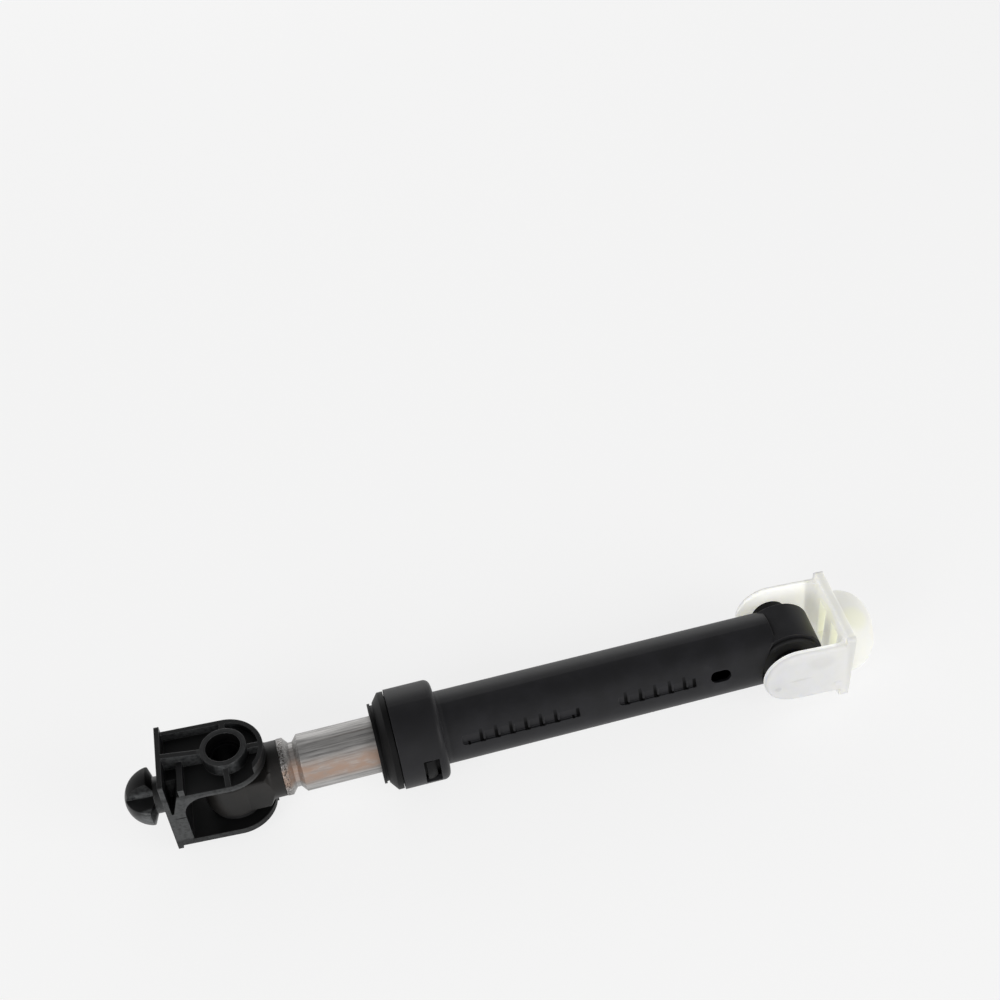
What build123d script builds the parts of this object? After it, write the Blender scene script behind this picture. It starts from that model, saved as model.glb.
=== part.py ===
from build123d import *
from math import cos, radians, sin
import os

os.makedirs("parts", exist_ok=True)

# Friction damper for a washing machine's tub, lying as it rests on a bench.
# The damper's axis is X, with Z up; the origin is the centre of the rod eye, where the
# base bracket's pin crosses the axis. All sizes are in millimetres.

# distance between the two eyes, as found
eye_to_eye = 198.6

# how far a cutting shape runs past what it cuts
overrun = 1.0

# fits
running_gap = 0.05
face_gap = 0.3
seat_gap = 0.15

# rod: steel tube, rolled into a groove round the knuckle's spigot
rod_od = 20.0
rod_wall = 1.0
rod_length = 130.0
rod_front = 17.0
rod_rim_round = 0.6
crimp_from_end = 4.7
crimp_width = 1.4
crimp_depth = 2.2
crimp_slope = 1.8

# rod knuckle: the moulded eye at the rod's outer end
knuckle_over_rod = 0.6
knuckle_height = 14.5
knuckle_edge = 0.8
neck_under_rod = 0.2
spigot_length = 24.0
spigot_bevel = 1.0

# hollow pin, sleeve and rubber bush in the rod eye
pin_od = 11.0
pin_bore = 9.0
pin_bevel = 0.4
sleeve_wall = 1.2
rubber_wall = 1.8
rod_bush_flange = 2.3
rod_bush_rim = 1.0

# plug and split ring that guide the rod's inner end in the tube
plug_insert = 10.0
plug_flange = 2.0
plug_play = 0.5
ring_width = 4.0
ring_wall = 2.5
ring_slit = 1.2

# outer tube
bore_play = 1.0
tube_wall = 1.85
tube_taper = 0.3
bore_bottom_wall = 2.2
buffer_height = 2.5
buffer_play = 3.0
tube_end_back = 5.0

# collar at the tube's mouth, with the cup that holds the friction pack
collar_from_eye = 141.6
collar_length = 16.4
collar_step = 4.8
collar_wall = 2.05
cup_bottom_wall = 2.4
window_length = 5.6
window_from_rear = 3.3
window_angle = 42.0
window_middle = 94.0

# rows of shallow pockets along two sides of the tube, and the vent near its closed end
pocket_tilt = 9.0
pocket_depth = 0.95
pocket_low = 1.1
pocket_height = 3.8
pocket_round = 1.4
pocket_rib = 0.7
pocket_pitch = 5.3
pocket_rows = [(100.2, 42.0, 6), (149.2, 28.0, 5)]
vent_from_eye = 26.4
vent_length = 7.4
vent_width = 4.4
vent_angle = 68.5

# end cap snapped into the cup
cap_inset = 0.45
cap_body = 2.0
cap_bevel = 2.4
cap_lip = 1.8
cap_lip_step = 3.1
cap_recess = 0.7
cap_skirt_wall = 1.0
cap_skirt_length = 3.6
cap_joint_gap = 0.35
hook_height = 1.5
hook_length = 3.5
hook_angle = 36.0
mouth_gap = 0.5
wiper_width = 2.0
wiper_wall = 2.2

# friction pack
carrier_wall = 0.8
carrier_flange = 1.2
pack_play = 0.2
lining_slit = 1.5

# tube eye: the moulded knuckle at the closed end
tube_eye_width = 15.0
tube_eye_radius = 12.2
trunnion_od = 10.0
tube_bush_flange = 1.5
tube_bush_step = 1.4
tube_bush_round = 0.9
scoop_play = 0.85

# base bracket: fork with boxed ears, a base plate and a moulded snap stud
base_swing = -3.5
base_ear_radius = 13.3
base_gap = 21.8
base_gap_bottom = 16.5
base_gap_round = 7.8
base_ear_wall = 2.5
base_rim_top = 16.6
base_rim_wall = 1.6
base_rim_start = 9.0
base_boss_wall = 1.9
base_boss_top = 18.6
base_boss_ledge = 0.8
base_rib = 1.9
near_rib_top = 17.0
cross_wall = 2.0
cross_wall_from_gap = 0.1
wedge_foot = 0.8
wedge_bottom = 4.5
wedge_end = 5.5
base_plate_from_pin = 22.7
base_plate = 1.7
base_plate_above = 20.0
base_plate_below = 15.4
base_plate_round = 0.8
counterbore_play = 0.5
stud_neck_radius = 6.4
stud_neck = 4.2
stud_radius = 10.0
stud_underside = 1.6
stud_rim = 0.6
stud_dome = 8.3
stud_cut_side = 2.5
stud_cut_height = 3.0

# tub bracket: white fork with a round hub behind its plate
tub_swing = 4.0
tub_ear_gap = 29.6
tub_ear_radius = 12.0
tub_ear_wall = 2.3
tub_ear_edge = 1.5
tub_root_round = 3.0
tub_plate_from_eye = 16.8
tub_plate = 3.2
tub_plate_over = 3.0
tub_plate_round = 1.5
hub_radius = 14.6
hub_length = 12.2
hub_round = 10.4
hub_wall = 2.4
hub_web = 2.4
mouth_web = 5.2
mouth_width = 17.0
mouth_height = 18.0
trunnion_length = 11.5

# radii and stations that follow from the sizes above
rod_radius = rod_od / 2
knuckle_radius = rod_radius + knuckle_over_rod
neck_radius = rod_radius - neck_under_rod
bore_radius = rod_radius + bore_play
buffer_radius = bore_radius - buffer_play
tube_radius = bore_radius + tube_wall
tube_end_radius = tube_radius - tube_taper
pocket_floor = tube_radius - pocket_depth
collar_radius = tube_radius + collar_step
collar_rear_round = collar_step / 2
cup_radius = collar_radius - collar_wall
cap_radius = collar_radius - cap_inset
cap_lip_radius = cap_radius - cap_lip_step
rod_bore_radius = rod_radius - rod_wall
pin_radius = pin_od / 2
rod_sleeve_bore = pin_radius + running_gap
rod_sleeve_radius = rod_sleeve_bore + sleeve_wall
rod_bush_radius = rod_sleeve_radius + rubber_wall
trunnion_radius = trunnion_od / 2
tube_sleeve_bore = trunnion_radius + running_gap
tube_sleeve_radius = tube_sleeve_bore + sleeve_wall
tube_bush_radius = tube_sleeve_radius + rubber_wall
ring_radius = bore_radius - running_gap
ring_seat_radius = ring_radius - ring_wall - running_gap
rod_end = rod_front + rod_length
ring_front = rod_end + plug_flange
plug_end = ring_front + ring_width + plug_flange
collar_front = eye_to_eye - collar_from_eye
collar_rear = collar_front + collar_length
cup_bottom = collar_rear - cup_bottom_wall
cap_rear = collar_front - cap_joint_gap
cap_front = cap_rear - cap_body - cap_bevel - cap_lip
skirt_radius = cup_radius - seat_gap
carrier_radius = skirt_radius - cap_skirt_wall - seat_gap
lining_radius = carrier_radius - carrier_wall
lining_bore = rod_radius + running_gap
tube_flange_radius = tube_eye_radius - tube_bush_step
scoop_radius = tube_flange_radius + scoop_play
bore_bottom = eye_to_eye - scoop_radius - bore_bottom_wall
rod_bush_flange_radius = rod_bush_radius + rod_bush_rim
neck_start = rod_bush_flange_radius + seat_gap
neck_end = base_ear_radius + face_gap
tube_bush_face = tube_eye_width / 2 + tube_bush_flange
ear_inner_face = tub_ear_gap / 2
ear_outer_face = ear_inner_face + tub_ear_wall


def radial_plane(angle):
    """Plane through the damper's axis whose upward side points at this angle about X."""
    return Plane((0, 0, 0), x_dir=(1, 0, 0), z_dir=(0, -sin(radians(angle)), cos(radians(angle))))


def section_plane(angle):
    """Plane for a section that starts at this angle about X."""
    return radial_plane(angle + 90)


def section(points, plane=Plane.XZ):
    """Face inside a closed polyline of (x, radius) points, ready to be turned about X."""
    with BuildSketch(plane) as face:
        with BuildLine():
            Polyline(*points, close=True)
        make_face()
    return face.sketch


def ring_section(start, end, inner, outer, plane=Plane.XZ):
    """Section of a plain ring or tube between two stations on the damper's axis."""
    return section([(start, inner), (end, inner), (end, outer), (start, outer)], plane)


# steel rod tube, with the groove rolled in near its outer end
groove_middle = rod_front + crimp_from_end
groove_top = crimp_width / 2 + crimp_slope
outside = [
    (rod_front, rod_radius),
    (groove_middle - groove_top, rod_radius),
    (groove_middle - crimp_width / 2, rod_radius - crimp_depth),
    (groove_middle + crimp_width / 2, rod_radius - crimp_depth),
    (groove_middle + groove_top, rod_radius),
    (rod_end, rod_radius),
]
inside = [(x, radius - rod_wall) for x, radius in reversed(outside)]
with BuildPart() as rod_tube:
    revolve(section(outside + inside), axis=Axis.X)
    rims = rod_tube.edges().filter_by(GeomType.CIRCLE).group_by(Axis.X)
    fillet(rims[0].sort_by(SortBy.RADIUS)[-1], rod_rim_round)
rod_tube.part.label = "rod_tube"
export_step(rod_tube.part, "parts/rod_tube.step")

# moulded rod knuckle: the eye, its flared neck and the spigot that the rod is rolled onto
spigot_radius = rod_bore_radius
spigot_end = rod_front + spigot_length
block_corner = (neck_radius**2 + (knuckle_height / 2) ** 2) ** 0.5
with BuildPart() as rod_knuckle:
    with BuildSketch(Plane.XY):
        Circle(knuckle_radius)
        with Locations((rod_front / 2, 0)):
            Rectangle(rod_front, 2 * neck_radius)
    extrude(amount=knuckle_height / 2, both=True)
    flat_edges = rod_knuckle.edges().group_by(Axis.Z)
    fillet(flat_edges[0] + flat_edges[-1], knuckle_edge)
    # neck that flares from the flat eye to the round rod
    level = (1, 0)
    with BuildSketch(Plane.XZ):
        with BuildLine():
            flare = Spline((neck_start, knuckle_height / 2), (neck_end, neck_radius), tangents=(level, level))
            Polyline(
                flare @ 1,
                (rod_front, neck_radius),
                (rod_front, spigot_radius),
                (groove_middle - groove_top, spigot_radius),
                (groove_middle - crimp_width / 2, spigot_radius - crimp_depth),
                (groove_middle + crimp_width / 2, spigot_radius - crimp_depth),
                (groove_middle + groove_top, spigot_radius),
                (spigot_end - spigot_bevel, spigot_radius),
                (spigot_end, spigot_radius - spigot_bevel),
                (spigot_end, 0),
                (0, 0),
                (0, knuckle_height / 2),
                flare @ 0,
            )
        make_face()
    revolve(axis=Axis.X)
    # the eye's square corners run down to the neck
    with BuildSketch(Plane.XZ):
        with BuildLine():
            slope = Spline((neck_start, block_corner), (neck_end, neck_radius), tangents=(level, level))
            Polyline(
                slope @ 1,
                (rod_front, neck_radius),
                (rod_front, 2 * rod_radius),
                (neck_start, 2 * rod_radius),
                slope @ 0,
            )
        make_face()
    revolve(axis=Axis.X, mode=Mode.SUBTRACT)
    with BuildSketch(Plane.XY):
        Circle(rod_bush_radius)
    extrude(amount=knuckle_height, both=True, mode=Mode.SUBTRACT)
rod_knuckle.part.label = "rod_knuckle"
export_step(rod_knuckle.part, "parts/rod_knuckle.step")

# rubber bush in the rod eye, with a rim on either side
rod_bush_height = knuckle_height + 2 * rod_bush_flange
with BuildPart() as rod_eye_bush:
    with BuildSketch(Plane.XY):
        Circle(rod_bush_radius)
    extrude(amount=rod_bush_height / 2, both=True)
    for side in (1, -1):
        with BuildSketch(Plane.XY.offset(side * knuckle_height / 2)):
            Circle(rod_bush_flange_radius)
        extrude(amount=side * rod_bush_flange)
    with BuildSketch(Plane.XY):
        Circle(rod_sleeve_radius)
    extrude(amount=rod_bush_height, both=True, mode=Mode.SUBTRACT)
rod_eye_bush.part.label = "rod_eye_bush"
export_step(rod_eye_bush.part, "parts/rod_eye_bush.step")

# steel sleeve in the rubber bush, just longer than it
rod_sleeve_height = base_gap - 2 * seat_gap
with BuildPart() as rod_eye_sleeve:
    with BuildSketch(Plane.XY):
        Circle(rod_sleeve_radius)
        Circle(rod_sleeve_bore, mode=Mode.SUBTRACT)
    extrude(amount=rod_sleeve_height / 2, both=True)
rod_eye_sleeve.part.label = "rod_eye_sleeve"
export_step(rod_eye_sleeve.part, "parts/rod_eye_sleeve.step")

# plug in the rod's inner end, with a groove for the guide ring
with BuildPart() as rod_end_plug:
    plug = [
        (rod_end - plug_insert, 0),
        (rod_end - plug_insert, rod_bore_radius - spigot_bevel),
        (rod_end - plug_insert + spigot_bevel, rod_bore_radius),
        (rod_end, rod_bore_radius),
        (rod_end, bore_radius - plug_play),
        (ring_front, bore_radius - plug_play),
        (ring_front, ring_seat_radius),
        (ring_front + ring_width, ring_seat_radius),
        (ring_front + ring_width, bore_radius - plug_play),
        (plug_end - spigot_bevel, bore_radius - plug_play),
        (plug_end, bore_radius - plug_play - spigot_bevel),
        (plug_end, 0),
    ]
    revolve(section(plug), axis=Axis.X)
rod_end_plug.part.label = "rod_end_plug"
export_step(rod_end_plug.part, "parts/rod_end_plug.step")

# split guide ring, free to turn in the plug's groove
with BuildPart() as guide_ring:
    ring = ring_section(
        ring_front + running_gap, ring_front + ring_width - running_gap, ring_radius - ring_wall, ring_radius
    )
    revolve(ring, axis=Axis.X)
    with BuildSketch(Plane.XY):
        with Locations((ring_front + ring_width / 2, 0)):
            Rectangle(2 * ring_width, ring_slit)
    extrude(amount=bore_radius, mode=Mode.SUBTRACT)
guide_ring.part.label = "guide_ring"
export_step(guide_ring.part, "parts/guide_ring.step")

# outer tube: collar and cup at the mouth, long drafted body, eye at the closed end
body_end = eye_to_eye - tube_end_back
window_rear = collar_rear - window_from_rear
with BuildPart() as outer_tube:
    body = [
        (collar_front, cup_radius),
        (collar_front, collar_radius),
        (collar_rear, collar_radius),
        (collar_rear, tube_radius),
        (body_end, tube_end_radius),
        (body_end, 0),
        (bore_bottom, 0),
        (bore_bottom, bore_radius),
        (cup_bottom, bore_radius),
        (cup_bottom, cup_radius),
    ]
    revolve(section(body), axis=Axis.X)
    collar_edges = outer_tube.edges().filter_by(GeomType.CIRCLE)
    rear_edge = collar_edges.filter_by(lambda edge: abs(edge.center().X - collar_rear) < 0.01)
    fillet(rear_edge.sort_by(SortBy.RADIUS)[-1], collar_rear_round)
    with BuildSketch(Plane.XZ):
        with Locations((eye_to_eye, 0)):
            Circle(tube_eye_radius)
    extrude(amount=tube_eye_width / 2, both=True)
    # scoops beside the eye, for the bush's flanges
    for side in (1, -1):
        with BuildSketch(Plane.XZ.offset(side * tube_eye_width / 2)):
            with Locations((eye_to_eye, 0)):
                Circle(scoop_radius)
        extrude(amount=side * tube_radius, mode=Mode.SUBTRACT)
    with BuildSketch(Plane.XZ):
        with Locations((eye_to_eye, 0)):
            Circle(tube_bush_radius)
    extrude(amount=tube_eye_width, both=True, mode=Mode.SUBTRACT)
    # windows through the collar for the cap's hooks
    for turn in (0, 180):
        window = ring_section(
            window_rear - window_length,
            window_rear,
            cup_radius - seat_gap,
            collar_radius + overrun,
            section_plane(window_middle + turn - window_angle / 2),
        )
        revolve(window, axis=Axis.X, revolution_arc=window_angle, mode=Mode.SUBTRACT)
    # rows of pockets, each row one long recess that thin ribs divide
    for turn in (0, 180):
        for row_middle, row_length, ribs in pocket_rows:
            with BuildSketch(radial_plane(90 - pocket_tilt + turn).offset(pocket_floor)):
                with Locations((row_middle, pocket_low + pocket_height / 2)):
                    RectangleRounded(row_length, pocket_height, pocket_round)
                    with GridLocations(pocket_pitch, 0, int(ribs), 1):
                        Rectangle(pocket_rib, 2 * pocket_height, mode=Mode.SUBTRACT)
            extrude(amount=tube_radius, mode=Mode.SUBTRACT)
    # vent into the bore
    with BuildSketch(radial_plane(vent_angle)):
        with Locations((eye_to_eye - vent_from_eye, 0)):
            SlotOverall(vent_length, vent_width)
    extrude(amount=2 * tube_radius, mode=Mode.SUBTRACT)
outer_tube.part.label = "outer_tube"
export_step(outer_tube.part, "parts/outer_tube.step")

# rubber bush in the tube eye, with a wide flange towards each ear
tube_bush_length = 2 * tube_bush_face
with BuildPart() as tube_eye_bush:
    with BuildSketch(Plane.XZ):
        with Locations((eye_to_eye, 0)):
            Circle(tube_bush_radius)
    extrude(amount=tube_bush_length / 2, both=True)
    for side in (1, -1):
        with BuildSketch(Plane.XZ.offset(side * tube_eye_width / 2)):
            with Locations((eye_to_eye, 0)):
                Circle(tube_flange_radius)
        extrude(amount=side * tube_bush_flange)
    with BuildSketch(Plane.XZ):
        with Locations((eye_to_eye, 0)):
            Circle(tube_sleeve_radius)
    extrude(amount=tube_bush_length, both=True, mode=Mode.SUBTRACT)
    flange_rims = tube_eye_bush.edges().filter_by(GeomType.CIRCLE).sort_by(SortBy.RADIUS)[-4:]
    outer_rims = flange_rims.sort_by(Axis.Y)[0:4:3]
    fillet(outer_rims, tube_bush_round)
tube_eye_bush.part.label = "tube_eye_bush"
export_step(tube_eye_bush.part, "parts/tube_eye_bush.step")

# sleeve in the tube eye's bush, from ear to ear, which the tub bracket's trunnions run in
with BuildPart() as tube_eye_sleeve:
    with BuildSketch(Plane.XZ):
        with Locations((eye_to_eye, 0)):
            Circle(tube_sleeve_radius)
            Circle(tube_sleeve_bore, mode=Mode.SUBTRACT)
    extrude(amount=ear_inner_face - face_gap, both=True)
tube_eye_sleeve.part.label = "tube_eye_sleeve"
export_step(tube_eye_sleeve.part, "parts/tube_eye_sleeve.step")

# rubber buffer on the bottom of the bore
with BuildPart() as end_buffer:
    with BuildSketch(Plane.YZ.offset(bore_bottom)):
        Circle(buffer_radius)
    extrude(amount=-buffer_height)
    chamfer(end_buffer.edges().sort_by(Axis.X)[0], buffer_height / 3)
end_buffer.part.label = "end_buffer"
export_step(end_buffer.part, "parts/end_buffer.step")

# end cap: stepped front, skirt in the cup and two hooks that spring into the windows
hook_rear = window_rear - seat_gap - (window_length - hook_length) / 2
with BuildPart() as end_cap:
    front = [
        (cap_front, rod_radius + mouth_gap),
        (cap_front, cap_lip_radius),
        (cap_front + cap_lip / 2, cap_lip_radius),
        (cap_front + cap_lip / 2, cap_lip_radius - cap_recess),
        (cap_front + cap_lip, cap_lip_radius - cap_recess),
        (cap_front + cap_lip, cap_lip_radius),
        (cap_front + cap_lip + cap_bevel, cap_radius),
        (cap_rear, cap_radius),
        (cap_rear, skirt_radius),
        (cap_rear + cap_skirt_length, skirt_radius),
        (cap_rear + cap_skirt_length, skirt_radius - cap_skirt_wall),
        (cap_rear - carrier_flange, skirt_radius - cap_skirt_wall),
        (cap_rear - carrier_flange, rod_radius + mouth_gap),
    ]
    revolve(section(front), axis=Axis.X)
    # groove that seats the wiper
    wiper_front = cap_front + cap_lip
    groove_section = ring_section(
        wiper_front, wiper_front + wiper_width, rod_radius, rod_radius + wiper_wall
    )
    revolve(groove_section, axis=Axis.X, mode=Mode.SUBTRACT)
    for turn in (0, 180):
        start = section_plane(window_middle + turn - hook_angle / 2)
        arm = ring_section(
            cap_rear + cap_skirt_length, hook_rear, skirt_radius - cap_skirt_wall, skirt_radius, start
        )
        revolve(arm, axis=Axis.X, revolution_arc=hook_angle)
        hook = section(
            [
                (hook_rear - hook_length, skirt_radius - cap_skirt_wall / 2),
                (hook_rear, skirt_radius - cap_skirt_wall / 2),
                (hook_rear, skirt_radius + hook_height / 2),
                (hook_rear - hook_length / 2, skirt_radius + hook_height),
                (hook_rear - hook_length, skirt_radius + hook_height),
            ],
            start,
        )
        revolve(hook, axis=Axis.X, revolution_arc=hook_angle)
end_cap.part.label = "end_cap"
export_step(end_cap.part, "parts/end_cap.step")

# wiper ring in the cap's mouth
with BuildPart() as wiper_ring:
    wiper = ring_section(wiper_front, wiper_front + wiper_width, lining_bore, rod_radius + wiper_wall)
    revolve(wiper, axis=Axis.X)
wiper_ring.part.label = "wiper_ring"
export_step(wiper_ring.part, "parts/wiper_ring.step")

# friction pack: flanged carrier sleeve, and the lining wrapped inside it
pack_front = cap_rear - carrier_flange + pack_play
pack_rear = cup_bottom - pack_play
with BuildPart() as lining_carrier:
    carrier = [
        (pack_front, lining_bore + mouth_gap),
        (pack_front, carrier_radius),
        (pack_rear, carrier_radius),
        (pack_rear, lining_radius),
        (pack_front + carrier_flange, lining_radius),
        (pack_front + carrier_flange, lining_bore + mouth_gap),
    ]
    revolve(section(carrier), axis=Axis.X)
lining_carrier.part.label = "lining_carrier"
export_step(lining_carrier.part, "parts/lining_carrier.step")

with BuildPart() as friction_lining:
    lining = ring_section(pack_front + carrier_flange, pack_rear, lining_bore, lining_radius)
    revolve(lining, axis=Axis.X)
    with BuildSketch(Plane.XY):
        with Locations(((pack_front + pack_rear) / 2, 0)):
            Rectangle(2 * collar_length, lining_slit)
    extrude(amount=collar_radius, mode=Mode.SUBTRACT)
friction_lining.part.label = "friction_lining"
export_step(friction_lining.part, "parts/friction_lining.step")

# planes of the base bracket, which hangs a little to one side on its pin
base_plan = Plane.XY.rotated((0, 0, base_swing))
base_side = Plane((0, 0, 0), x_dir=base_plan.x_dir, z_dir=-base_plan.y_dir)
base_end = Plane((0, 0, 0), x_dir=-base_plan.y_dir, z_dir=-base_plan.x_dir)
base_axis = Axis((0, 0, 0), base_plan.x_dir)
plate_back = base_plate_from_pin - base_plate
counterbore_radius = pin_radius + counterbore_play
boss_radius = counterbore_radius + base_boss_wall
ear_floor = base_gap / 2 + base_ear_wall
ear_inside = base_ear_radius - base_rim_wall
wall_left = base_gap_bottom + cross_wall_from_gap
wall_right = wall_left - cross_wall


def fork_outline(radius, start, plane):
    """Plan of the fork: round about the pin, straight back to the plate."""
    with BuildSketch(plane) as outline:
        Circle(radius)
        with Locations((-start / 2, 0)):
            Rectangle(start, 2 * radius)
    return outline.sketch


def plan_box(left, right, low, high):
    """Rectangle in the bracket's plan between two stations and two sides."""
    with Locations(((left + right) / 2, (low + high) / 2)):
        Rectangle(right - left, high - low)


def gap_section(wall):
    """Side view of the round-bottomed gap between the ears, grown by a wall."""
    length = base_gap_bottom + wall + 2 * base_ear_radius
    with BuildSketch(base_side) as gap:
        with Locations((length / 2 - base_gap_bottom - wall, 0)):
            Rectangle(length, base_gap + 2 * wall)
        left_corners = gap.vertices().group_by(base_axis)[0]
        fillet(left_corners, base_gap_round + wall)
    return gap.sketch


# hollow over the upper ear: inside its rim on the far side, open towards the near side
near_side = -base_ear_radius - overrun
with BuildPart() as ear_hollow:
    with BuildSketch(base_plan.offset(ear_floor)):
        Circle(ear_inside)
        plan_box(-plate_back, 0, 0, ear_inside)
        plan_box(-wall_right, base_rim_start, near_side, 0)
    extrude(amount=base_boss_top)
    with BuildSketch(base_plan.offset(ear_floor)):
        Circle(boss_radius)
        plan_box(0, base_ear_radius, -base_rib / 2, base_rib / 2)
        plan_box(-base_rib / 2, base_rib / 2, 0, base_ear_radius)
        plan_box(-plate_back, -wall_right, near_side, 0)
    extrude(amount=base_boss_top, mode=Mode.SUBTRACT)

with BuildPart() as base_bracket:
    extrude(fork_outline(base_ear_radius, plate_back, base_plan), amount=base_rim_top, both=True)
    add(ear_hollow.part, mode=Mode.SUBTRACT)
    mirror(ear_hollow.part, about=Plane.XY, mode=Mode.SUBTRACT)
    # shelf between the plate and the cross wall; the lower ear has no rim on the near side
    for floor, end in ((ear_floor, -wall_left), (-ear_floor, base_ear_radius)):
        with BuildSketch(base_plan.offset(floor)):
            plan_box(-plate_back, end, near_side, 0)
        extrude(amount=floor, mode=Mode.SUBTRACT)
    # wedge-shaped pocket behind the plate, open towards the near side
    with BuildSketch(base_side.offset(wedge_end)):
        with BuildLine():
            Polyline(
                (-plate_back, base_rim_top),
                (-wall_left, base_rim_top),
                (-plate_back + wedge_foot, wedge_bottom),
                (-plate_back, wedge_bottom),
                close=True,
            )
        make_face()
    extrude(amount=base_ear_radius, mode=Mode.SUBTRACT)
    extrude(gap_section(0), amount=2 * base_ear_radius, both=True, mode=Mode.SUBTRACT)
    # bosses, and the ribs that lean on them
    for side in (1, -1):
        with BuildSketch(base_plan.offset(side * base_gap / 2)):
            Circle(boss_radius)
        extrude(amount=side * (base_boss_top - base_gap / 2))
        plate_edge = base_plate_above if side == 1 else base_plate_below
        with BuildSketch(base_side):
            with BuildLine():
                Polyline(
                    (-plate_back, side * ear_floor),
                    (-plate_back, side * plate_edge),
                    (0, side * (base_boss_top - base_rib / 2)),
                    (0, side * ear_floor),
                    close=True,
                )
            make_face()
        extrude(amount=base_rib / 2, both=True)
        with BuildSketch(base_end):
            with BuildLine():
                Polyline(
                    (0, side * ear_floor),
                    (0, side * near_rib_top),
                    (boss_radius, side * near_rib_top),
                    (base_ear_radius, side * ear_floor),
                    close=True,
                )
            make_face()
        extrude(amount=base_rib / 2, both=True)
    # base plate
    plate_height = base_plate_above + base_plate_below
    with BuildSketch(base_end.offset(plate_back)):
        with Locations((0, (base_plate_above - base_plate_below) / 2)):
            RectangleRounded(2 * base_ear_radius, plate_height, base_plate_round)
    extrude(amount=base_plate)
    # bore for the pin, wider outside the ears' ledges
    with BuildSketch(base_plan):
        Circle(pin_radius)
    extrude(amount=2 * base_boss_top, both=True, mode=Mode.SUBTRACT)
    for side in (1, -1):
        with BuildSketch(base_plan.offset(side * (ear_floor + base_boss_ledge))):
            Circle(counterbore_radius)
        extrude(amount=side * base_boss_top, mode=Mode.SUBTRACT)
    # snap stud: neck, flared underside and dome
    stud_neck_end = base_plate_from_pin + stud_neck
    rim_start = stud_neck_end + stud_underside
    rim_end = rim_start + stud_rim
    tip = rim_end + stud_dome
    dome_radius = (stud_radius**2 + stud_dome**2) / (2 * stud_dome)
    with BuildSketch(base_side):
        with BuildLine():
            Polyline(
                (-tip, 0),
                (-base_plate_from_pin, 0),
                (-base_plate_from_pin, stud_neck_radius),
                (-stud_neck_end, stud_neck_radius),
                (-rim_start, stud_radius),
                (-rim_end, stud_radius),
            )
            RadiusArc((-rim_end, stud_radius), (-tip, 0), -dome_radius)
        make_face()
    revolve(axis=base_axis)
    # two opposite quarters of the dome are left out, so that it can spring together
    for side in (1, -1):
        with BuildSketch(base_end.offset(stud_neck_end)):
            with Locations((side * (stud_cut_side + stud_radius), side * (stud_cut_height + stud_radius))):
                Rectangle(2 * stud_radius, 2 * stud_radius)
        extrude(amount=tip, mode=Mode.SUBTRACT)
base_bracket.part.label = "base_bracket"
export_step(base_bracket.part, "parts/base_bracket.step")

# hollow pin, pressed through both ears' ledges
pin_half = ear_floor + base_boss_ledge
with BuildPart() as base_pin:
    with BuildSketch(base_plan):
        Circle(pin_radius)
    extrude(amount=pin_half, both=True)
    chamfer(base_pin.edges().filter_by(GeomType.CIRCLE), pin_bevel)
    with BuildSketch(base_plan):
        Circle(pin_bore / 2)
    extrude(amount=2 * pin_half, both=True, mode=Mode.SUBTRACT)
base_pin.part.label = "base_pin"
export_step(base_pin.part, "parts/base_pin.step")

# planes of the tub bracket, which hangs a little down at its hub
tub_along = (cos(radians(tub_swing)), 0, -sin(radians(tub_swing)))
tub_side = Plane((eye_to_eye, 0, 0), x_dir=tub_along, z_dir=(0, -1, 0))
tub_end = Plane((eye_to_eye, 0, 0), x_dir=(0, 1, 0), z_dir=tub_along)
hub_start = tub_plate_from_eye + tub_plate
tub_plate_height = 2 * (tub_ear_radius + tub_plate_over)

# hollow of the hub and its mouths in the plate, either side of a web
with BuildPart() as hub_core:
    with BuildSketch(tub_end.offset(hub_start)):
        Circle(hub_radius - hub_wall)
    extrude(amount=hub_length - hub_wall)
    fillet(hub_core.edges().sort_by(Axis((0, 0, 0), tub_along))[-1], hub_round - hub_wall)
    with BuildSketch(tub_side):
        Rectangle(4 * hub_start, 4 * hub_radius)
    extrude(amount=hub_web / 2, both=True, mode=Mode.SUBTRACT)
    with BuildSketch(tub_end.offset(tub_plate_from_eye)):
        Rectangle(mouth_width, mouth_height)
        Rectangle(mouth_web, mouth_height, mode=Mode.SUBTRACT)
    extrude(amount=tub_plate)

# tub bracket: plate, two ears with trunnions, and the hollow hub
with BuildPart() as tub_bracket:
    with BuildSketch(tub_end.offset(tub_plate_from_eye)):
        RectangleRounded(2 * ear_outer_face, tub_plate_height, tub_plate_round)
    extrude(amount=tub_plate)
    for side in (1, -1):
        with BuildSketch(tub_side.offset(side * ear_inner_face)):
            Circle(tub_ear_radius)
            with Locations((tub_plate_from_eye / 2, 0)):
                Rectangle(tub_plate_from_eye, 2 * tub_ear_radius)
        extrude(amount=side * tub_ear_wall)
    roots = tub_bracket.edges().filter_by(
        lambda edge: abs(abs(edge.center().Y) - ear_inner_face) < 0.01
        and abs(tub_side.to_local_coords(edge.center()).X - tub_plate_from_eye) < 0.01
    )
    fillet(roots, tub_root_round)
    outer_edges = tub_bracket.edges().filter_by(
        lambda edge: abs(abs(edge.center().Y) - ear_outer_face) < 0.01
        and tub_side.to_local_coords(edge.center()).X < tub_plate_from_eye - 0.1
    )
    fillet(outer_edges, tub_ear_edge)
    for side in (1, -1):
        with BuildSketch(tub_side.offset(side * (ear_inner_face - trunnion_length))):
            Circle(trunnion_radius)
        extrude(amount=side * trunnion_length)
    with BuildSketch(tub_end.offset(hub_start)):
        Circle(hub_radius)
    extrude(amount=hub_length)
    hub_rim = tub_bracket.edges().filter_by(GeomType.CIRCLE).sort_by(Axis((0, 0, 0), tub_along))[-1]
    fillet(hub_rim, hub_round)
    add(hub_core.part, mode=Mode.SUBTRACT)
tub_bracket.part.label = "tub_bracket"
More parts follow.
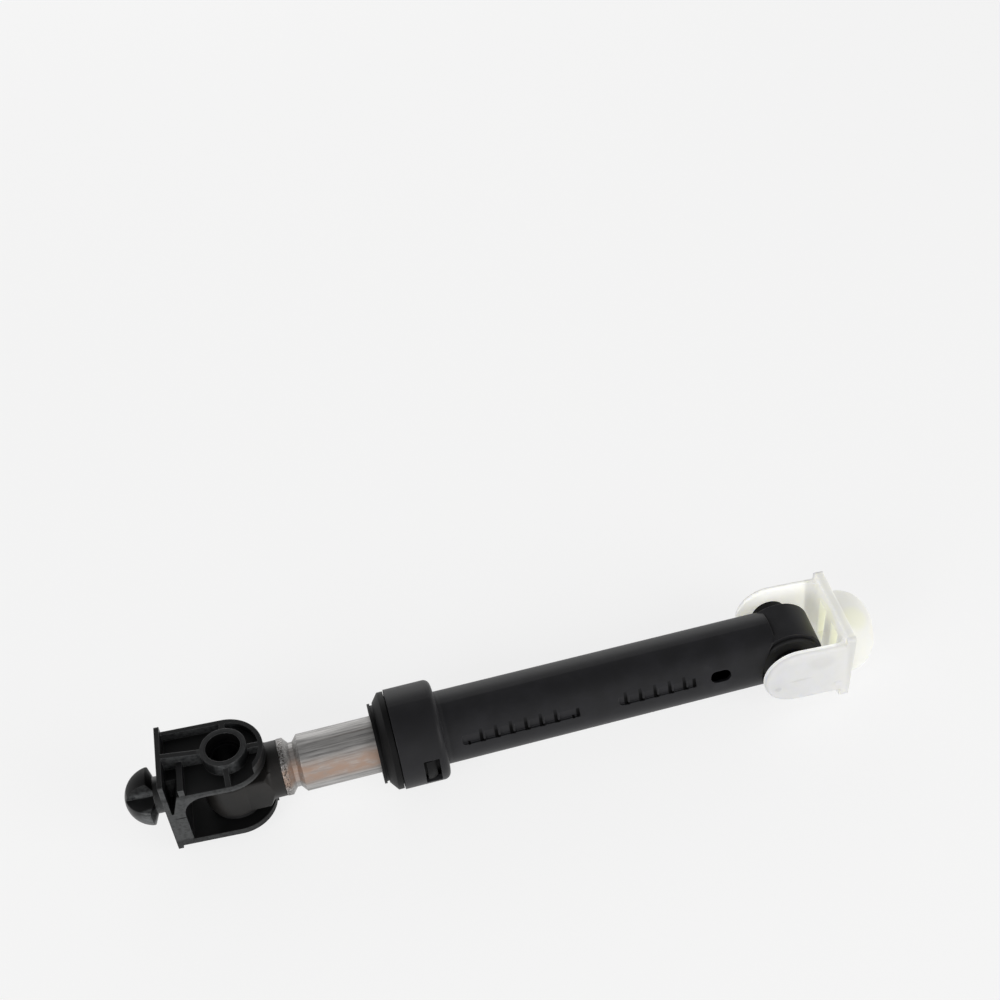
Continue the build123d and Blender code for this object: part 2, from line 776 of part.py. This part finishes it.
export_step(tub_bracket.part, "parts/tub_bracket.step")
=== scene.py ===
import bpy
import math
from mathutils import Matrix, Vector

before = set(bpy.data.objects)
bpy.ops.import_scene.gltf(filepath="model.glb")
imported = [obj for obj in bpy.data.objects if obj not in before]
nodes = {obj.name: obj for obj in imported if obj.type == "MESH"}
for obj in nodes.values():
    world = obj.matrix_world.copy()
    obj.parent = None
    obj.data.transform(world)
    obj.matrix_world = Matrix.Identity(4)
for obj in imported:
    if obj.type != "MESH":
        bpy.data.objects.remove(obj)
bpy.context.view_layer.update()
print("frame loaded:", len(nodes), "pieces")

mm = 0.001


# a node's socket, so that masks add up and multiply like numbers
class Wire:
    def __init__(self, finish, socket):
        self.finish = finish
        self.socket = socket

    def __add__(self, other):
        return self.finish.math("ADD", self, other)

    def __sub__(self, other):
        return self.finish.math("SUBTRACT", self, other)

    def __rsub__(self, other):
        return self.finish.math("SUBTRACT", other, self)

    def __mul__(self, other):
        return self.finish.math("MULTIPLY", self, other)

    def __truediv__(self, other):
        return self.finish.math("DIVIDE", self, other)

    def __pow__(self, other):
        return self.finish.math("POWER", self, other)

    def __neg__(self):
        return self.finish.math("MULTIPLY", self, -1)

    def __abs__(self):
        return self.finish.math("ABSOLUTE", self)

    __radd__ = __add__

    def ramp(self, low, high):                                    # 0 below low, 1 above high
        inputs = {"Value": self, "From Min": low, "From Max": high}
        return self.finish.node("MapRange", {"interpolation_type": "SMOOTHSTEP"}, inputs)

    def band(self, low, high, soft):                              # 1 between low and high
        return self.ramp(low - soft, low + soft) * (1 - self.ramp(high - soft, high + soft))


# one material and the nodes that make it
class Finish:
    def __init__(self, name):
        self.material = bpy.data.materials.new(name)
        self.material.use_nodes = True
        self.tree = self.material.node_tree
        self.shader = self.tree.nodes["Principled BSDF"]
        self.place = self.node("TexCoord", output="Object")

    def node(self, kind, settings=None, inputs=None, output=0):
        made = self.tree.nodes.new("ShaderNode" + kind)
        for key, value in (settings or {}).items():
            setattr(made, key, value)
        for key, value in (inputs or {}).items():
            self.feed(made.inputs[key], value)
        return Wire(self, made.outputs[output])

    def feed(self, socket, value):
        if isinstance(value, Wire):
            self.tree.links.new(value.socket, socket)
        elif socket.type == "RGBA" and len(value) == 3:
            socket.default_value = (*value, 1)
        else:
            socket.default_value = value

    def set(self, **values):                                      # shader sockets, by name with _ for a space
        for key, value in values.items():
            self.feed(self.shader.inputs[key.replace("_", " ")], value)
        return self

    def cover(self, mask, over):                                  # lays another shader over this one
        out = self.tree.nodes["Material Output"].inputs["Surface"]
        own = Wire(self, self.shader.outputs[0])
        self.feed(out, self.node("MixShader", {}, {0: mask, 1: own, 2: over}))

    def math(self, operation, *values):
        return self.node("Math", {"operation": operation}, dict(enumerate(values)))

    def noise(self, size, detail, rough, scale=(1000, 1000, 1000)):
        place = self.node("Mapping", {}, {"Vector": self.place, "Scale": scale})
        inputs = {"Vector": place, "Scale": 1 / size, "Detail": detail, "Roughness": rough}
        return self.node("TexNoise", {}, inputs, "Fac")

    def tint(self, mask, under, over):                            # colour mix, over where the mask is 1
        inputs = {0: mask, 6: under, 7: over}
        return self.node("Mix", {"data_type": "RGBA"}, inputs, 2)

    def axis(self, name):                                         # one object coordinate, in millimetres
        return self.node("SeparateXYZ", {}, {0: self.place}, name) * 1000

    def axes(self):
        return [self.axis(name) for name in "XYZ"]

    def spot(self, centre, reach):                                # 1 at a place, 0 outside its reach
        x, y, z = (abs((self.axis(name) - at) / far) for name, at, far in zip("XYZ", centre, reach))
        return 1 - (x * x + y * y + z * z).ramp(0.1, 1.0)

    def softEdge(self, radius):                                   # normal with rounded edges
        return self.node("Bevel", {"samples": 6}, {"Radius": radius * mm})

    def wornEdge(self, radius):                                   # 1 on sharp edges, 0 on flats
        flat = self.node("NewGeometry", output="Normal")
        inputs = {0: self.softEdge(radius), 1: flat}
        turn = self.node("VectorMath", {"operation": "DOT_PRODUCT"}, inputs, "Value")
        return (1 - turn).ramp(0.01, 0.2)

    def bump(self, height, distance, normal, strength):
        inputs = {"Height": height, "Distance": distance * mm, "Strength": strength, "Normal": normal}
        return self.node("Bump", {}, inputs, "Normal")


def wear(name, finish):                                           # puts a finish on a CAD node
    slots = nodes[name].data.materials
    slots.clear()
    slots.append(finish.material)


# what all black mouldings share: noise, dust, scuffs, the colour of painted shade, and how much they change
# the gloss
moulding = {
    "cloud": {"size": 9, "detail": 4, "rough": 0.55},
    "fleck": {"size": 0.5, "detail": 2, "rough": 0.6},
    "scuff": {"size": 1.1, "detail": 4, "rough": 0.65, "scale": (150, 1000, 1000)},
    "scuffed": (0.6, 0.78),
    "dusted": (0.35, 0.75),
    "dust": 0.5,
    "wear": 0.35,                                                 # worn edges, evenly and in flecks
    "wearFleck": 0.5,
    "roughCloud": 0.08,
    "roughFleck": 0.05,
    "roughScuff": 0.08,
    "roughShade": 0.35,
    "roughRub": 0.2,
    "liftScuff": 0.2,
    "sinkShade": 14,
    "relief": 0.012,
    "strength": 0.6,
    "paintedShadeBlack": (0.0012, 0.0012, 0.0012),
    "glossless": 0.75,                                            # how much of the painted shade is covered with a glossless black
}

# black moulded nylon of the tube
tubeNylon = {
    "black": (0.0108, 0.0108, 0.0122),
    "dusty": (0.021, 0.021, 0.0245),
    "worn": (0.05, 0.05, 0.053),
    "grain": 0.16,
    "edge": 0.4,
    "shine": 0.24,
    "rough": 0.4,
    "collarEnd": 74.0,                                            # the collar is a little darker than the body
    "collarDust": 0.6,
    "root": (73.3, 75.0, 0.5),                                    # painted highlight along the line where the body meets the collar
    "rootHighlight": 0.6,
}

# its two rows of pockets, with shade painted in them: deepest at the foot and beside each rib
pockets = {
    "tilt": math.radians(9.0),
    "pitch": 5.3,
    "foot": 1.0,
    "top": 5.7,
    "rows": (
        {"from": 79.6, "to": 121.0, "rib": 86.1, "lastRib": 114.0},
        {"from": 135.6, "to": 163.0, "rib": 137.75, "lastRib": 160.4},
    ),
    "tallSoft": 0.25,
    "tallShade": 0.8,
    "fadeFrom": 3.2,
    "fade": 0.5,
    "lowBand": (-0.1, 0.9, 0.15),                                 # from the foot
    "ribWidth": (0.4, 0.72),
    "rowStart": 1,
    "rowSoft": 0.2,
    "tipAt": 0.5,
    "tipWidth": (0.35, 0.8),
    "tipHeight": (4.2, 4.8),
    "footAt": 0.85,
    "footWidth": (0.3, 0.5),
}


def paintedPocketShade(made):
    look = pockets
    x, y, z = made.axes()
    side = -made.math("SIGN", y)
    rise = (z * math.cos(look["tilt"]) + y * math.sin(look["tilt"])) * side
    foot, top, soft = look["foot"], look["top"], look["rowSoft"]
    tall = rise.band(foot, top, look["tallSoft"])
    tall = tall * (look["tallShade"] - rise.ramp(look["fadeFrom"], top) * look["fade"])
    under, over, lowSoft = look["lowBand"]
    low = rise.band(foot + under, foot + over, lowSoft)
    half = look["pitch"] / 2
    shade = 0
    for row in look["rows"]:
        beside = made.math("WRAP", x - row["rib"], half, -half)
        ribs = (1 - abs(beside).ramp(*look["ribWidth"]))
        ribs = ribs * x.band(row["rib"] - look["rowStart"], row["lastRib"], soft)
        tip = 1 - abs(x - row["to"] + look["tipAt"]).ramp(*look["tipWidth"])
        tip = tip * (1 - rise.ramp(*look["tipHeight"]))
        feet = x.band(row["from"], row["to"], soft)
        feet = feet * (1 - abs(beside - look["footAt"]).ramp(*look["footWidth"]))
        shade = (ribs + tip) * tall + feet * low + shade
    return shade, None


def blackNylon(name, look, marks=None):
    made = Finish(name)
    cloud = made.noise(**moulding["cloud"])
    fleck = made.noise(**moulding["fleck"])
    scuff = made.noise(**moulding["scuff"]).ramp(*moulding["scuffed"])
    edge = made.wornEdge(look["edge"])
    dust = cloud.ramp(*moulding["dusted"]) * moulding["dust"]
    if "collarEnd" in look:
        end, least = look["collarEnd"], look["collarDust"]
        dust = dust * (least + made.axis("X").ramp(end - 1, end + 1) * (1 - least))
        # the painted highlight at the collar's root joins the worn edges and takes the worn colour
        edge = edge + made.axis("X").band(*look["root"]) * look["rootHighlight"]
    colour = made.tint(dust, look["black"], look["dusty"])
    colour = made.tint(edge * (moulding["wear"] + fleck * moulding["wearFleck"]), colour, look["worn"])
    rough = look["rough"] + cloud * moulding["roughCloud"] + fleck * moulding["roughFleck"]
    rough = rough - scuff * moulding["roughScuff"]
    height = made.noise(look["grain"], 2, 0.6) + scuff * moulding["liftScuff"]
    if marks is not None:
        # marks give painted shade, and for the base bracket also rubs together with painted light
        shade, rubAndPaintedLight = marks(made)
        colour = made.tint(shade, colour, moulding["paintedShadeBlack"])
        rough = rough + shade * moulding["roughShade"]
        height = height - shade * moulding["sinkShade"]
        if rubAndPaintedLight is not None:
            colour = made.tint(rubAndPaintedLight, colour, look["rubbedAndLit"])
            rough = rough + rubAndPaintedLight * moulding["roughRub"]
        # a glossless near-black laid over the painted shade
        flat = {"Base Color": moulding["paintedShadeBlack"], "Roughness": 0.9, "Specular IOR Level": 0.0}
        made.cover(shade * moulding["glossless"], made.node("BsdfPrincipled", {}, flat))
    made.set(
        Base_Color=colour,
        Roughness=rough,
        Normal=made.bump(height, moulding["relief"], made.softEdge(look["edge"]), moulding["strength"]),
        Specular_IOR_Level=look["shine"],
        IOR=1.5,
    )
    return made


# glossier black of the base bracket, grey where rubbed on its stud and where light is painted on its stud and
# near-facing faces
bracketNylon = {
    "black": (0.005, 0.0053, 0.0057),
    "dusty": (0.013, 0.0135, 0.014),
    "worn": (0.06, 0.061, 0.062),
    "rubbedAndLit": (0.115, 0.12, 0.122),
    "grain": 0.3,
    "edge": 0.45,
    "shine": 0.36,
    "rough": 0.3,
}

# where shade and light are painted on the base bracket, and where it is rubbed
bracketPlaces = {
    "lowerPit": -9.5,                                             # floors of the two ears' boxes, painted with shade
    "upperPit": (12.0, 13.9, 0.2),
    "upperShade": 0.7,
    "pitShade": 0.42,
    "bore": (6.2, 18.2),                                          # radius and top of the boss's bore, painted with shade
    # top of the stud's dome, painted with shade
    "studTop": (-26.5, 5.6),
    "studShade": 1.1,
    # a mould seam, sunk and painted with shade
    "seam": ((-18.5, -12.5, 1.8), (3.6, 2.5, 0.32)),
    # the stud's web face, lightened as painted light and as rub wear
    "studWeb": ((-30.5, -0.7, 4.6), (5.5, 1.2, 1.9)),
    "webRub": 0.8,
    # the stud's rims, lightened as painted highlight and as rub wear
    "studRims": (
        ((-29.0, -7.6, 3.0), (5.0, 2.0, 0.7)),
        ((-29.5, -7.0, -0.8), (7.0, 4.5, 3.6)),
    ),
    "rimRub": 0.85,
    "bossRim": (6.6, 9.0, 0.3),                                   # rubbed ring round the bore
    "bossTop": (17.4, 17.8),
    "bossRub": 0.12,
    "facing": (0.8, 0.98),                                        # faces that look to the near side
    # how much light is painted on those faces
    "film": 0.4,
    "rubNoise": {"size": 1.2, "detail": 4, "rough": 0.6},
    "rubbedAndLit": (0.2, 0.65),
}


def bracketPaintedLightShadeAndRubs(made):
    look = bracketPlaces
    x, y, z = made.axes()
    lower, (radius, top), (stud, crest) = look["lowerPit"], look["bore"], look["studTop"]
    across = (x * x + y * y) ** 0.5
    bore = (1 - across.ramp(radius - 0.2, radius + 0.2)) * (1 - z.ramp(top, top + 0.3))
    deep = 1 - z.ramp(lower - 1.5, lower) + z.band(*look["upperPit"]) * look["upperShade"]
    dome = (1 - x.ramp(stud - 0.5, stud)) * z.ramp(crest - 1.2, crest)
    deep = deep + dome * look["studShade"]
    rubAndPaintedLight = made.spot(*look["studWeb"]) * look["webRub"]
    for rim in look["studRims"]:
        rubAndPaintedLight = rubAndPaintedLight + made.spot(*rim) * look["rimRub"]
    rubAndPaintedLight = rubAndPaintedLight + across.band(*look["bossRim"]) * z.ramp(*look["bossTop"]) * look["bossRub"]
    # painted light on the faces that look to the near side
    facing = -made.node("SeparateXYZ", {}, {0: made.node("TexCoord", output="Normal")}, "Y")
    film = facing.ramp(*look["facing"]) * look["film"] * (1 - bore)
    # painted shade in the boxes, on the stud's dome top, in the seam and in the bore
    shade = deep * look["pitShade"] + made.spot(*look["seam"]) + bore
    return shade, (rubAndPaintedLight + film) * made.noise(**look["rubNoise"]).ramp(*look["rubbedAndLit"])


# the knuckle is duller than the bracket, and a little brown
knuckleNylon = {
    "black": (0.009, 0.0085, 0.008),
    "dusty": (0.022, 0.0195, 0.0175),
    "worn": (0.06, 0.057, 0.053),
    "grain": 0.3,
    "edge": 0.45,
    "shine": 0.25,
    "rough": 0.38,
}

# cap at the tube's mouth, matt, and darker than the tube as painted shade; the lining carrier and the tube
# eye's sleeve wear it too
capShadeNylon = {
    "black": (0.0036, 0.0036, 0.0039),
    "dusty": (0.009, 0.009, 0.0095),
    "worn": (0.02, 0.02, 0.021),
    "grain": 0.16,
    "edge": 0.3,
    "shine": 0.14,
    "rough": 0.46,
}

bushRubber = {
    "black": (0.007, 0.007, 0.0075),
    "dusty": (0.022, 0.022, 0.022),
    "worn": (0.035, 0.035, 0.035),
    "grain": 0.12,
    "edge": 0.3,
    "shine": 0.25,
    "rough": 0.55,
}

# bore of the base bracket's pin, near black as painted shade where light hardly reaches
pinShadeNylon = {
    "black": (0.0018, 0.0018, 0.002),
    "dusty": (0.005, 0.005, 0.005),
    "worn": (0.006, 0.006, 0.006),
    "grain": 0.2,
    "edge": 0.2,
    "shine": 0.1,
    "rough": 0.5,
}

# drawn steel tube, zinc plated, with a brown reflection painted along its near upper side and broad brown
# patches
rodSteel = {
    "bright": (0.53, 0.52, 0.51),
    "dull": (0.25, 0.245, 0.24),
    "brownReflectionAndPatches": (0.41, 0.30, 0.24),
    "brownReflectionHeights": (0.2, 7.6),                                         # heights between which the painted brown reflection lies
    "brownReflectionPatch": 0.55,
    "brownBroadPatches": 0.25,
    "rim": 19.6,                                                  # the rolled rim is rough up to here
    "soot": (0.05, 0.042, 0.038),
    "rimSoot": 0.9,
    "patchSoot": 0.15,
    "streak": {"size": 0.8, "detail": 5, "rough": 0.65, "scale": (40, 1000, 1000)},
    "broad": {"size": 4, "detail": 3, "rough": 0.5, "scale": (60, 1000, 1000)},
    "fine": {"size": 0.16, "detail": 3, "rough": 0.6, "scale": (22, 1000, 1000)},
    "patch": {"size": 3.2, "detail": 4, "rough": 0.6, "scale": (420, 1000, 1000)},
    "speck": {"size": 0.55, "detail": 4, "rough": 0.7},
    "rough": 0.42,
    "relief": 0.012,
    "rimRelief": 9,
}


def drawnSteel(name, look):
    made = Finish(name)
    x, y, z = made.axes()
    streak, broad, fine, patch, speck = (
        made.noise(**look[key]) for key in ("streak", "broad", "fine", "patch", "speck")
    )
    lines = (streak * 0.7 + fine * 0.3).ramp(0.36, 0.62)
    colour = made.tint(lines, look["dull"], look["bright"])
    low, high = look["brownReflectionHeights"]
    # brown painted as a reflection along the near upper side, in patches, and broad brown patches all over
    brownReflectionAndPatches = z.ramp(low - 1.5, low + 2.5) * (1 - z.ramp(high - 2.0, high + 1.2)) * (1 - y.ramp(-2, 2))
    brownReflectionAndPatches = brownReflectionAndPatches * (1 - look["brownReflectionPatch"] + patch.ramp(0.35, 0.6) * look["brownReflectionPatch"])
    brownReflectionAndPatches = brownReflectionAndPatches + broad.ramp(0.6, 0.75) * look["brownBroadPatches"]
    colour = made.tint(brownReflectionAndPatches, colour, look["brownReflectionAndPatches"])
    rim = 1 - x.ramp(look["rim"] - 1.2, look["rim"] + 0.6)
    soot = rim * look["rimSoot"] + patch.ramp(0.62, 0.8) * look["patchSoot"]
    colour = made.tint(speck.ramp(0.44, 0.58) * soot, colour, look["soot"])
    height = fine + streak * 0.5 + rim * speck * look["rimRelief"]
    made.set(
        Base_Color=colour,
        Metallic=1.0,
        Roughness=look["rough"] + streak * 0.12 + fine * 0.1 - rim * speck * 0.2,
        Normal=made.bump(height, look["relief"], made.softEdge(0.3), 0.6),
    )
    return made


# off-white acetal of the tub bracket: light runs through it; its yellow, its glow and the grey on its hub are
# painted light and shade
tubAcetal = {
    "white": (0.83, 0.825, 0.81),
    "cloudy": (0.79, 0.79, 0.765),
    "lightThroughYellow": (0.76, 0.77, 0.57),
    "hubShade": (0.72, 0.72, 0.705),                                 # outside of the hub, painted a little greyer as shade
    # colour of the shade painted on the moulding marks
    "markShade": (0.45, 0.44, 0.43),
    "mouth": {"from": 215.8, "domeFrom": 219.9, "core": 4.2, "reach": 9.3, "axisDrop": 1.6},
    "mouthYellow": 0.6,
    "lightThroughSpot": ((223.0, -6.0, 11.4), (6.5, 5.5, 6.5)),
    "lightThroughSpotYellow": 0.4,
    "marks": {                                                    # centre and reach, painted shade, lift
        "hollow": (((207.6, -17.2, 5.4), (6.2, 1.2, 4.4)), 0.16, -22),
        "bead": (((199.6, -17.2, -1.3), (5.4, 1.2, 0.7)), 0.2, 16),
        "dimple": (((191.2, -17.2, -3.7), (1.5, 1.2, 1.5)), 0.25, -30),
        "nick": (((213.2, -17.2, -8.2), (1.6, 1.2, 1.3)), 0, -30),
    },
    "cloud": {"size": 6, "detail": 3, "rough": 0.5},
    "wisp": {"size": 2.2, "detail": 4, "rough": 0.6, "scale": (500, 1000, 1000)},
    "grain": {"size": 0.25, "detail": 2, "rough": 0.5},
    "liftCloud": 4,
    "rough": 0.38,
    "soak": (0.0048, 0.0046, 0.0036),                             # how far red, green and blue run in it, m
    "glow": 0.42,                                                 # painted glow that stands for light that comes through
    "glowTint": (1, 1, 0.95),
    "glowSide": (15.2, 16.4),                                     # between the ears
    "glowPlate": (212.0, 213.0),                                  # weaker from the plate on
    "plateLoss": 0.52,
    "mouthGlow": 0.6,
}


def whiteAcetal(name, look):
    made = Finish(name)
    x, y, z = made.axes()
    cloud, wisp = made.noise(**look["cloud"]), made.noise(**look["wisp"])
    # inside of the hub, within the round of its wall
    hub = look["mouth"]
    far = (y * y + (z + hub["axisDrop"]) ** 2) ** 0.5
    ahead = made.math("MAXIMUM", x - hub["domeFrom"], 0)
    out = made.math("MAXIMUM", far - hub["core"], 0)
    mouth = x.ramp(hub["from"] - 0.5, hub["from"] + 0.5)
    mouth = mouth * (1 - ((ahead * ahead + out * out) ** 0.5).ramp(hub["reach"] - 0.3, hub["reach"]))
    veil = cloud.ramp(0.35, 0.7) * 0.5 + wisp.ramp(0.5, 0.75) * 0.3
    height = made.noise(**look["grain"]) + cloud * look["liftCloud"]
    # shade is painted in and along the moulding marks, which are also sunk or raised
    dark = 0
    for where, markShadeAmount, lift in look["marks"].values():
        mark = made.spot(*where)
        dark = mark * markShadeAmount + dark
        height = height + mark * lift
    colour = made.tint(veil, look["white"], look["cloudy"])
    colour = made.tint(dark, colour, look["markShade"])
    # painted shade: the hub's outside is greyer
    colour = made.tint(x.ramp(hub["from"], hub["from"] + 2) * (1 - mouth), colour, look["hubShade"])
    # yellow painted in the hub's mouth and on a spot of the hub, as light that comes through the wall
    lightThroughYellow = mouth * look["mouthYellow"] + made.spot(*look["lightThroughSpot"]) * look["lightThroughSpotYellow"]
    colour = made.tint(lightThroughYellow, colour, look["lightThroughYellow"])
    # painted glow between the ears, weaker from the plate on, and in the mouth
    paintedGlow = (1 - abs(y).ramp(*look["glowSide"])) * (1 - x.ramp(*look["glowPlate"]) * look["plateLoss"])
    paintedGlow = paintedGlow * (1 - mouth)
    pale = tuple(look["glow"] * part for part in look["glowTint"])
    made.set(
        Base_Color=colour,
        Roughness=look["rough"] + cloud * 0.1,
        Normal=made.bump(height, 0.01, made.softEdge(0.6), 0.5),
        Subsurface_Weight=1.0,
        Subsurface_Radius=look["soak"],
        Subsurface_Scale=1.0,
        Emission_Color=made.tint(mouth * look["mouthGlow"] + paintedGlow, (0, 0, 0), pale),
        Emission_Strength=1.0,
        IOR=1.48,
    )
    return made


# greased foam, and plain natural acetal, inside the tube
insideParts = {
    "foam": {"light": (0.34, 0.27, 0.17), "dark": (0.13, 0.1, 0.06), "pore": 0.45, "rough": 0.8},
    "natural": {"light": (0.78, 0.77, 0.72), "dark": (0.66, 0.64, 0.57), "pore": 0.2, "rough": 0.4},
}


def mottled(name, look):
    made = Finish(name)
    pore = made.noise(look["pore"], 4, 0.65)
    made.set(
        Base_Color=made.tint(pore.ramp(0.35, 0.7), look["dark"], look["light"]),
        Roughness=look["rough"] + pore * 0.1,
        Normal=made.bump(pore, 0.1 * look["rough"], made.softEdge(0.2), 0.7),
    )
    return made


tubeFinish = blackNylon("tubeNylon", tubeNylon, paintedPocketShade)
plainFinish = blackNylon("innerNylon", tubeNylon)
capShadeFinish = blackNylon("capShadeNylon", capShadeNylon)
bracketFinish = blackNylon("bracketNylon", bracketNylon, bracketPaintedLightShadeAndRubs)
knuckleFinish = blackNylon("knuckleNylon", knuckleNylon)
pinShadeFinish = blackNylon("pinShadeNylon", pinShadeNylon)
rubberFinish = blackNylon("bushRubber", bushRubber)
steelFinish = drawnSteel("rodSteel", rodSteel)
acetalFinish = whiteAcetal("tubAcetal", tubAcetal)
foamFinish = mottled("liningFoam", insideParts["foam"])
naturalFinish = mottled("naturalAcetal", insideParts["natural"])

wears = {
    "outer_tube": tubeFinish,
    "end_cap": capShadeFinish,
    "rod_end_plug": plainFinish,
    "lining_carrier": capShadeFinish,
    "tube_eye_sleeve": capShadeFinish,
    "base_bracket": bracketFinish,
    "rod_knuckle": knuckleFinish,
    "base_pin": pinShadeFinish,
    "rod_eye_bush": rubberFinish,
    "tube_eye_bush": rubberFinish,
    "wiper_ring": rubberFinish,
    "end_buffer": rubberFinish,
    "rod_tube": steelFinish,
    "rod_eye_sleeve": steelFinish,
    "tub_bracket": acetalFinish,
    "guide_ring": naturalFinish,
    "friction_lining": foamFinish,
}
for name, finish in wears.items():
    wear(name, finish)
print("finishes on")

# floor under the two places that the damper rests on
floor = {
    "near": (7.6, -18.62),                                        # x and z, mm, under the base bracket's boss
    "far": (217.5, -16.38),                                       # under the tub bracket's plate
    "size": 6000.0,
    "white": (0.90, 0.90, 0.895),
    "rough": 0.6,
    "shine": 0.2,
    "glow": 0.78,                                                 # how much of its white it shows of itself
}


def layFloor(look):
    (x0, z0), (x1, z1) = look["near"], look["far"]
    slope = (z1 - z0) / (x1 - x0)
    half = look["size"] / 2
    square = ((-half, -half), (half, -half), (half, half), (-half, half))
    corners = [(x * mm, y * mm, (z0 + (x - x0) * slope) * mm) for x, y in square]
    mesh = bpy.data.meshes.new("floor")
    mesh.from_pydata(corners, [], [(0, 1, 2, 3)])
    made = bpy.data.objects.new("floor", mesh)
    bpy.context.scene.collection.objects.link(made)
    finish = Finish("floorWhite")
    finish.set(Base_Color=look["white"], Roughness=look["rough"], Specular_IOR_Level=look["shine"])
    glow = finish.node("Emission", {}, {"Color": (1, 1, 1), "Strength": 1.0})
    rays = ("Is Camera Ray", "Is Glossy Ray", "Is Transmission Ray")
    camera, glossy, through = (finish.node("LightPath", output=ray) for ray in rays)
    finish.cover((camera + glossy + through) * look["glow"], glow)
    mesh.materials.append(finish.material)


layFloor(floor)

# soft studio light: a large lamp from either side, and a pale horizon under a dim ceiling
lamps = {
    "left": {"at": (-680, -720, 470), "to": (90, 0, 0), "size": 620, "power": 4.5},
    "right": {"at": (900, -720, 470), "to": (130, 0, 0), "size": 620, "power": 4.5},
    "behind": {"at": (110, 950, 230), "to": (110, 0, 0), "size": 800, "power": 1.9},
}


def hangLamp(name, look):
    data = bpy.data.lights.new(name, "AREA")
    data.shape = "SQUARE"
    data.size = look["size"] * mm
    data.energy = look["power"]
    made = bpy.data.objects.new(name, data)
    made.location = Vector(look["at"]) * mm
    aim = (Vector(look["to"]) - Vector(look["at"])).to_track_quat("-Z", "Y")
    made.rotation_euler = aim.to_euler()
    bpy.context.scene.collection.objects.link(made)


for name, look in lamps.items():
    hangLamp(name, look)

studio = {
    "horizon": 0.95,
    "ceiling": 0.25,
    "from": 0.22,                                                 # sine of the height where it starts to dim
    "to": 0.5,
}


def paintWorld(look):
    world = bpy.data.worlds.new("studio")
    world.use_nodes = True
    bpy.context.scene.world = world
    tree = world.node_tree
    place = tree.nodes.new("ShaderNodeTexCoord")
    split = tree.nodes.new("ShaderNodeSeparateXYZ")
    fade = tree.nodes.new("ShaderNodeMapRange")
    fade.interpolation_type = "SMOOTHSTEP"
    values = (look["from"], look["to"], look["horizon"], look["ceiling"])
    for socket, value in zip(("From Min", "From Max", "To Min", "To Max"), values):
        fade.inputs[socket].default_value = value
    tree.links.new(place.outputs["Generated"], split.inputs[0])
    tree.links.new(split.outputs["Z"], fade.inputs["Value"])
    light = tree.nodes["Background"]
    light.inputs["Color"].default_value = (1, 1, 1, 1)
    tree.links.new(fade.outputs[0], light.inputs["Strength"])


paintWorld(studio)
print("floor and lamps up")

# camera where the photograph was taken from, solved from the damper's own edges
shot = {
    "place": (43.660, -402.241, 512.135),
    "turn": 0.150163,
    "dip": 0.787818,
    "roll": 0.126162,
    "film": 36,
    "lens": 1854.781 * 36 / 1000,
    "clip": (0.01, 50),
}


def setCamera(look):
    turn, dip, roll = look["turn"], look["dip"], look["roll"]
    ahead = Vector((math.sin(turn) * math.cos(dip), math.cos(turn) * math.cos(dip), -math.sin(dip)))
    level = Vector((math.cos(turn), -math.sin(turn), 0))
    under = ahead.cross(level)
    right = math.cos(roll) * level + math.sin(roll) * under
    down = math.cos(roll) * under - math.sin(roll) * level
    data = bpy.data.cameras.new("shot")
    data.sensor_width = look["film"]
    data.lens = look["lens"]
    data.clip_start, data.clip_end = look["clip"]
    made = bpy.data.objects.new("shot", data)
    bpy.context.scene.collection.objects.link(made)
    spin = Matrix((right, -down, -ahead)).transposed().to_4x4()
    made.matrix_world = Matrix.Translation(Vector(look["place"]) * mm) @ spin
    bpy.context.scene.camera = made


setCamera(shot)
bpy.context.scene.view_settings.view_transform = "Standard"
print("camera set")
